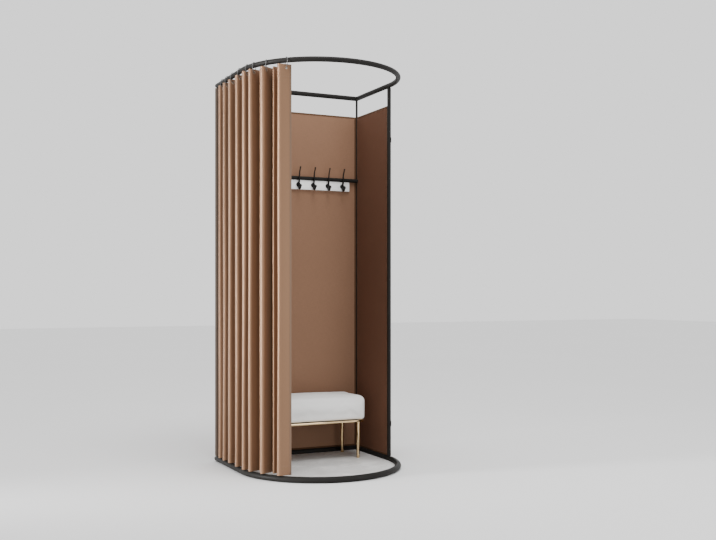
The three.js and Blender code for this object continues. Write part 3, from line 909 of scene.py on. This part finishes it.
def swollen(bm):
    """Remeshes a shape evenly and blows it up as cloth, no further than the swell, into a new shape."""
    mesh = mesh_of(bm, "pad")
    pad = added("pad", mesh)
    remesh = pad.modifiers.new("even", "REMESH")
    remesh.mode = "VOXEL"
    remesh.voxel_size = PAD_VOXEL
    even = mesh_of(worked_out(pad), "pad_even")
    pad.modifiers.clear()
    pad.data = even
    before = [vert.co.copy() for vert in even.vertices]
    after = before
    cloth = pad.modifiers.new("pressure", "CLOTH")
    cloth.settings.quality = 6
    cloth.settings.use_pressure = True
    cloth.settings.uniform_pressure_force = PAD_PRESSURE
    cloth.settings.effector_weights.gravity = 0
    for frame_number in range(1, PAD_FRAMES + 1):
        bpy.context.scene.frame_set(frame_number)
    shaped = pad.evaluated_get(bpy.context.evaluated_depsgraph_get())
    after = [vert.co.copy() for vert in shaped.data.vertices]
    bpy.context.scene.frame_set(1)
    pad.modifiers.clear()
    result = bmesh.new()
    result.from_mesh(even)
    for vert, old, new in zip(result.verts, before, after):
        move = new - old
        if move.length > PAD_SWELL:
            move *= PAD_SWELL / move.length
        vert.co = old + move
    bpy.data.objects.remove(pad)
    for data in (mesh, even):
        bpy.data.meshes.remove(data)
    return result


def build_cushion():
    """A boxed cushion that swells between sewn edges, with seams round the top and up the corners."""
    low, high, middle = box_of("bench_cushion")
    half = (high - low) / 2
    shrink = Vector((CUSHION_SHRINK, CUSHION_SHRINK, 0))
    block_height = high.z - low.z - CUSHION_CROWN - CUSHION_SHRINK
    bm = swollen(cushion_block(half - shrink, block_height))
    smoothed(bm, 5)
    bmesh.ops.subdivide_edges(bm, edges=bm.edges[:], cuts=1, smooth=0.6, use_grid_fill=True)
    smoothed(bm, 2)
    corner_x, corner_y = half.x - SEAM_INSET, half.y - SEAM_INSET
    top_seam = block_height / 2 - SEAM_INSET
    for vert in bm.verts:
        place = vert.co
        edge_x, edge_y = abs(place.x) - corner_x, abs(place.y) - corner_y
        outward = Vector((place.x / half.x, place.y / half.y, 0)).normalized()
        if max(abs(place.x) / half.x, abs(place.y) / half.y) > SIDE_SHARE:
            sunk = math.exp(-((place.z - top_seam) / TOP_SEAM_WIDTH) ** 2)
            if place.z < top_seam and min(edge_x, edge_y) > -CORNER_SEAM_REACH:
                from_corner = abs(edge_x) - abs(edge_y)
                sunk = max(sunk, math.exp(-(from_corner / CORNER_SEAM_WIDTH) ** 2))
            vert.co -= outward * SEAM_SINK * sunk
        vert.co = Vector((
            middle.x + within(vert.co.x, half.x),
            middle.y + within(vert.co.y, half.y),
            low.z + max(CUSHION_FOOT_GAP, vert.co.z + block_height / 2),
        ))
    bmesh.ops.recalc_face_normals(bm, faces=bm.faces[:])
    cushion = finish_piece(bm, "cushion", CUSHION, "frame", ["bench_cushion"], 70)


# Curtain: cloth laid taut round upright pegs, worked out along the rail and kept as one grid
CREST_RADIUS = 12 * MM
CREST_REACH = 22 * MM
VALLEY_RADIUS = 6 * MM
VALLEY_REACH = 85 * MM
RIDGE_RADIUS = 5 * MM
RIDGE_DEPTH = 14 * MM
SEAM_DEPTH = 25 * MM
EDGE_FOLD = 9.5 * MM
EDGE_RUN = 7.0 * MM
EDGE_LEG_RUN = 28 * MM
LEAD_FOLD_BACK = 27 * MM
LEAD_OVERLAP = 19 * MM
LEAD_DEPTH = 17.5 * MM
RING_WIRE = 1.5 * MM
RING_STEPS = 72
RING_TURN = 35
EYELET_DROP = 1.1 * MM
EYELET_RADIUS = 3.4 * MM
EYELET_HOLE_DEPTH = 8 * MM
CLOTH_THICKNESS = 1.4 * MM
CLOTH_ROWS = 46
ROW_EASING = 0.06
FOLD_STEPS = 10
LEG_STEPS = 12
PARKED_RINGS = 4
# How much the folds wander over the height: along the rail, in depth and in width
PARKED_DRIFT = 1.1 * MM
DRAWN_DRIFT = 0.3 * MM
CREST_WANDER = 0.7 * MM
VALLEY_WANDER = 1.5 * MM
CREST_SWELL = 0.12
VALLEY_SWELL = 0.1
FULL_SWAY_DROP = 0.5
SELVEDGE_COLUMNS = 2
# Columns of the rear edge fold covered by the painted shade strip
CURTAIN_EDGE_SHADE_COLUMNS = 22
SELVEDGE_THICKNESS = 3.0 * MM
HEM_THICKNESS = CLOTH_THICKNESS + 1.2 * MM
HEM_OVERHANG = 0.6 * MM
HEM_STITCH_IN = 3 * MM
# How far from a ring and from the next crest the stretch of cloth between them begins and ends
STRETCH_FREE_START = 5 * MM
STRETCH_FREE_END = 2 * MM

RING_NODES = sorted(node for node in frame["nodes"] if node.startswith("curtain_ring_"))
RING_RUNS = [run_at(middle_of(node)) for node in RING_NODES]
CLOTH_LOW, CLOTH_HIGH = (corner.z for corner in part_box("curtain_pleat_1"))
HEM_TOP = CLOTH_LOW + 45 * MM
HEAD_BOTTOM = CLOTH_HIGH - 60 * MM


def sway(run, height, seed):
    """A slow, smooth wander of the cloth, nothing at the rings' height."""
    drop = min(1, (CLOTH_HIGH - height) / FULL_SWAY_DROP)
    slow = math.sin(2.1 * height + 9.0 * run + seed)
    return drop * (slow + 0.6 * math.sin(4.7 * height - 14.0 * run + 2.3 * seed))


Peg = namedtuple("Peg", "run out radius side")


def crest_run(ring):
    """Where the crest that hangs from a ring lies along the rail."""
    return RING_RUNS[ring] - (LEAD_FOLD_BACK if ring == len(RING_RUNS) - 1 else CREST_RADIUS)


def curtain_pegs(height):
    """Every peg of the curtain at one height, from the rear edge to the leading edge."""
    def crest(run, radius, reach, seed, drift):
        wide = radius * (1 + CREST_SWELL * sway(run, height, seed))
        shift = drift * sway(run, height, seed + 1)
        return Peg(run + shift, reach - wide + CREST_WANDER * sway(run, height, seed + 2), wide, 1)

    def valley(run, seed, drift):
        wide = VALLEY_RADIUS * (1 + VALLEY_SWELL * sway(run, height, seed))
        shift = drift * sway(run, height, seed + 1)
        deep = VALLEY_WANDER * sway(run, height, seed + 2)
        return Peg(run + shift, VALLEY_RADIUS - VALLEY_REACH + deep, wide, -1)

    pegs = [Peg(EDGE_RUN, EDGE_FOLD, 0, 1), Peg(EDGE_LEG_RUN - EDGE_FOLD, EDGE_FOLD, EDGE_FOLD, 1)]
    for i, leg_run in enumerate([EDGE_LEG_RUN, *RING_RUNS[:-1]]):
        first = leg_run + VALLEY_RADIUS
        third = (crest_run(i) - first) / 3
        drift = PARKED_DRIFT if i < PARKED_RINGS else DRAWN_DRIFT
        pegs += [
            valley(first, 3 * i, drift),
            crest(first + third, RIDGE_RADIUS, -RIDGE_DEPTH, 3 * i + 1, drift),
            valley(first + 2 * third, 3 * i + 2, drift),
            crest(crest_run(i), CREST_RADIUS, CREST_REACH, 5 * i, PARKED_DRIFT),
        ]
    pegs.append(Peg(RING_RUNS[-1] + LEAD_OVERLAP, -LEAD_DEPTH, 0, 1))
    return pegs


def beside(run, out, heading, shift):
    """The run and distance of a point shifted square to a heading."""
    return run - shift * math.sin(heading), out + shift * math.cos(heading)


def lay_cloth(pegs):
    """Points of (run, out, heading) along cloth pulled taut round pegs, with equal counts at any height."""
    headings = []
    for start, end in zip(pegs, pegs[1:]):
        along, across = end.run - start.run, end.out - start.out
        swing = start.side * start.radius - end.side * end.radius
        headings.append(math.atan2(across, along) - math.asin(swing / math.hypot(along, across)))
    line = []
    for i, here in enumerate(pegs):
        arriving = headings[max(i - 1, 0)]
        leaving = headings[min(i, len(headings) - 1)]
        steps = FOLD_STEPS if here.radius > 0 else 0
        for step in range(steps + 1):
            heading = arriving + (leaving - arriving) * step / max(steps, 1)
            point = (*beside(here.run, here.out, heading, here.side * here.radius), heading)
            if step == 0 and line:
                before = line[-1]
                for j in range(1, LEG_STEPS):
                    share = j / LEG_STEPS
                    line.append(tuple(a + (b - a) * share for a, b in zip(before, point)))
            line.append(point)
    return line


def row_heights():
    """Heights of the cloth's rows, closer near the top, the middle and the bottom."""
    shares = [i / CLOTH_ROWS for i in range(CLOTH_ROWS + 1)]
    eased = [share - ROW_EASING * math.sin(4 * math.pi * share) for share in shares]
    return [CLOTH_LOW + (CLOTH_HIGH - CLOTH_LOW) * share for share in eased]


def seam_columns(line):
    """The column nearest each ring's seam, on the leg that runs inward from its crest."""
    columns = [0]
    for run in RING_RUNS[PARKED_RINGS - 1:-1]:
        distances = [math.hypot(point[0] - run, point[1] + SEAM_DEPTH) for point in line]
        columns.append(distances.index(min(distances)))
    return [*columns, len(line) - 1]


def cloth_grid(lines, heights, first, last, thickness):
    """A sheet between two columns with the lines in its middle and a map in metres, and its length."""
    columns = last - first
    rows = len(heights) - 1
    middle_line = lines[rows // 2]
    lengths = [0.0]
    for before, after in zip(middle_line, middle_line[1:]):
        lengths.append(lengths[-1] + math.hypot(after[0] - before[0], after[1] - before[1]))
    bm = bmesh.new()
    bmesh.ops.create_grid(bm, x_segments=columns, y_segments=rows, size=1)
    inner = set(bm.verts)
    bmesh.ops.extrude_face_region(bm, geom=bm.faces[:], use_keep_orig=True)
    layer = bm.loops.layers.uv.new("cloth")
    places = {}
    for vert in bm.verts:
        column = first + round((vert.co.x + 1) / 2 * columns)
        row = round((vert.co.y + 1) / 2 * rows)
        shift = -thickness / 2 if vert in inner else thickness / 2
        vert.co = plan_point(*beside(*lines[row][column], shift), heights[row])
        places[vert] = (lengths[column], heights[row])
    for face in bm.faces:
        for loop in face.loops:
            loop[layer].uv = places[loop.vert]
    bmesh.ops.recalc_face_normals(bm, faces=bm.faces[:])
    return bm, lengths[last] - lengths[first]


def stitch_along(bm, line, height, first, last):
    """A row of stitches along a hem's line at one height, on both faces."""
    for side in (-1, 1):
        shift = side * HEM_THICKNESS / 2
        for column in range(first, last, 2):
            places = (line[column], line[min(column + 2, last)])
            start, end = (plan_point(*beside(*place, shift), height) for place in places)
            across = (end - start).cross(UP) * side
            if across.length > 0:
                stitch_row(bm, start, end, across.normalized(), *HEM_STITCH, 1)


def punch(bm, places):
    """Cuts a round hole for an eyelet through a shape at each place."""
    cutters = bmesh.new()
    for place in places:
        bmesh.ops.create_cone(
            cutters, cap_ends=True, segments=32, radius1=EYELET_RADIUS, radius2=EYELET_RADIUS,
            depth=EYELET_HOLE_DEPTH, matrix=place,
        )
    cloth = added("cloth", mesh_of(bm, "cloth"))
    cutter = added("cutter", mesh_of(cutters, "cutter"))
    cut = cloth.modifiers.new("holes", "BOOLEAN")
    cut.operation = "DIFFERENCE"
    cut.solver = "EXACT"
    cut.object = cutter
    pierced = worked_out(cloth)
    for thing in (cloth, cutter):
        mesh = thing.data
        bpy.data.objects.remove(thing)
        bpy.data.meshes.remove(mesh)
    return pierced


def eyelet_place(index):
    """Where a ring threads the cloth, facing along the cloth's normal."""
    outward = outward_at(RING_RUNS[index])
    normal = Vector((-outward.y, outward.x, 0))
    if index == len(RING_RUNS) - 1:
        heading = lay_cloth(curtain_pegs(CLOTH_HIGH))[-1][2]
        normal = outward * math.cos(heading) - normal * math.sin(heading)
    ring = middle_of(RING_NODES[index])
    wire_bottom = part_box(RING_NODES[index])[0].z + RING_WIRE
    return facing(Vector((ring.x, ring.y, wire_bottom - EYELET_DROP)), normal)


def build_hem(name, body, first, last, low, high, holes):
    """The hem, or with holes the head: thicker cloth, a little past the edge, stitched at its inner end."""
    heights = [low + (high - low) * step / 4 for step in range(5)]
    inner_row, to_edge, edge_row = (0, 1, -1) if holes else (-1, -1, 0)
    stitch_height = heights[inner_row] + to_edge * HEM_STITCH_IN
    heights[edge_row] += to_edge * HEM_OVERHANG
    lines = [lay_cloth(curtain_pegs(height)) for height in heights]
    bm, _ = cloth_grid(lines, heights, first, last, HEM_THICKNESS)
    if holes:
        bm = punch(bm, holes)
    stitch_along(bm, lines[inner_row], stitch_height, first, last)
    covers = [CURTAIN, BROWN_THREAD]
    return finish_piece(bm, name, covers, body, smooth_angle=60)


def build_curtain():
    heights = row_heights()
    lines = [lay_cloth(curtain_pegs(height)) for height in heights]
    seams = seam_columns(lines[-1])
    bodies = ["frame", "runner_1", "runner_2", "runner_3", "runner_4"]
    for i, (first, last) in enumerate(zip(seams, seams[1:])):
        part = "parked" if i == 0 else f"width_{i}"
        body = "frame" if i == 0 else None
        rings = range(PARKED_RINGS) if i == 0 else [PARKED_RINGS + i - 1]
        holes = [eyelet_place(ring) for ring in rings]
        nodes = [f"curtain_pleat_{ring + 1}" for ring in rings]
        bm, length = cloth_grid(lines, heights, first, last, CLOTH_THICKNESS)
        bm = punch(bm, holes)
        cloth = finish_piece(bm, f"curtain_{part}", CURTAIN, body, nodes, 60)
        hems = [
            build_hem(f"curtain_hem_{part}", body, first, last, CLOTH_LOW, HEM_TOP, []),
            build_hem(f"curtain_head_{part}", body, first, last, HEAD_BOTTOM, CLOTH_HIGH, holes),
        ]
        # Two strips laid over the cloth: painted shade on the rear edge fold, and darker cloth along the
        # leading edge
        for word, cover, start, end in (
            ("curtain_edge_painted_shade", CURTAIN_EDGE_SHADE, seams[0], seams[0] + CURTAIN_EDGE_SHADE_COLUMNS),
            ("curtain_darker_lead_edge", DARKER_LEAD_EDGE, seams[-1] - SELVEDGE_COLUMNS, seams[-1]),
        ):
            if first <= start and end <= last:
                edge_bm, _ = cloth_grid(lines, heights, start, end, SELVEDGE_THICKNESS)
                hems.append(finish_piece(edge_bm, word, cover, body))
        if i > 0:
            ring = PARKED_RINGS + i - 1
            start = plan_point(RING_RUNS[ring - 1] + STRETCH_FREE_START, -SEAM_DEPTH)
            end = plan_point(crest_run(ring) - CREST_RADIUS - STRETCH_FREE_END, -SEAM_DEPTH)
            for piece in (cloth, *hems):
                bodies[i - 1]
                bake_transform(piece)


def build_rings_and_eyelets():
    for index, node in enumerate(RING_NODES):
        low, high, middle = box_of(node)
        body = "frame" if index < PARKED_RINGS else f"runner_{index - PARKED_RINGS + 1}"
        outward = outward_at(RING_RUNS[index])
        heading = math.atan2(outward.y, outward.x) + math.radians(RING_TURN)
        direction = Vector((math.cos(heading), math.sin(heading), 0))
        radius = (high.z - low.z) / 2 - RING_WIRE
        bm = bmesh.new()
        start = facing(middle + direction * radius, UP)
        bmesh.ops.create_circle(bm, segments=16, radius=RING_WIRE, matrix=start)
        spin_round(bm, middle, direction.cross(UP), RING_STEPS)
        finish_piece(bm, f"ring_{index + 1}", CHROME, body, [node], 80)

        bm = bmesh.new()
        thick = CLOTH_THICKNESS / MM / 2 + 0.6
        half = [
            (2.8, thick), (3.2, thick + 0.8), (4.4, thick + 1.2), (6.0, thick + 0.9), (7.3, thick + 0.4),
            (7.7, thick),
        ]
        other_half = [(out, -up) for out, up in reversed(half)]
        turned(bm, [*half, *other_half, half[0]], 40, eyelet_place(index))
        finish_piece(bm, f"eyelet_{index + 1}", EYELET, body, smooth_angle=60)


# Stage: a pale floor and soft studio light
STAGE_SIZE = 20
SKY_STRENGTH = 1.34
# Each lamp: its name, place, size, power in watts, target and spread in degrees
LAMPS = (
    ("key", (-3.38, 0.2, 1.2), (0.4, 2.6), 32, (0.02, -0.5, 1.0), 42),
    ("front", (1.2, -3.4, 1.0), (1.4, 1.4), 18, (0.1, 0.1, 0.7), 180),
    ("top", (-0.1, -1.2, 4.2), (1.2, 1.2), 66, (0.1, 0.1, 0.6), 180),
)


def build_stage():
    bm = bmesh.new()
    bmesh.ops.create_grid(bm, x_segments=1, y_segments=1, size=STAGE_SIZE)
    mesh = mesh_of(bm, "studio_floor")
    mesh.materials.append(studio_floor())
    floor = added("studio_floor", mesh)

    world = bpy.data.worlds.new("studio")
    world.use_nodes = True
    background = world.node_tree.nodes["Background"]
    background.inputs["Color"].default_value = (1, 1, 1, 1)
    background.inputs["Strength"].default_value = SKY_STRENGTH
    bpy.context.scene.world = world

    for name, place, (width, height), power, target, spread in LAMPS:
        data = bpy.data.lights.new(name, "AREA")
        data.spread = math.radians(spread)
        data.shape = "RECTANGLE"
        data.size = width
        data.size_y = height
        data.energy = power
        lamp = added(name, data)
        lamp.location = place
        aim = Vector(target) - Vector(place)
        lamp.rotation_euler = aim.to_track_quat("-Z", "Y").to_euler()


build_hoop("base")
build_hoop("rail")
build_posts()
build_panel("panel_rear", "rear_wall", REAR_CANVAS_PAINTED_LIGHT, Vector((1, 0, 0)), Vector((0, 1, 0)))
build_panel("panel_side", "side_wall", SIDE_CANVAS_PAINTED_SHADE, Vector((0, 1, 0)), Vector((1, 0, 0)))
build_clips()
build_floor_board()
build_bar()
build_hook_board()
for number in range(1, 5):
    build_hook(f"hook_{number}", f"coat_hook_{number}")
build_bench_frame()
build_seat_board()
for corner in ("front_left", "front_right", "rear_left", "rear_right"):
    build_leg(f"bench_leg_{corner}", f"leg_{corner}")
build_cushion()
build_curtain()
build_rings_and_eyelets()
build_stage()
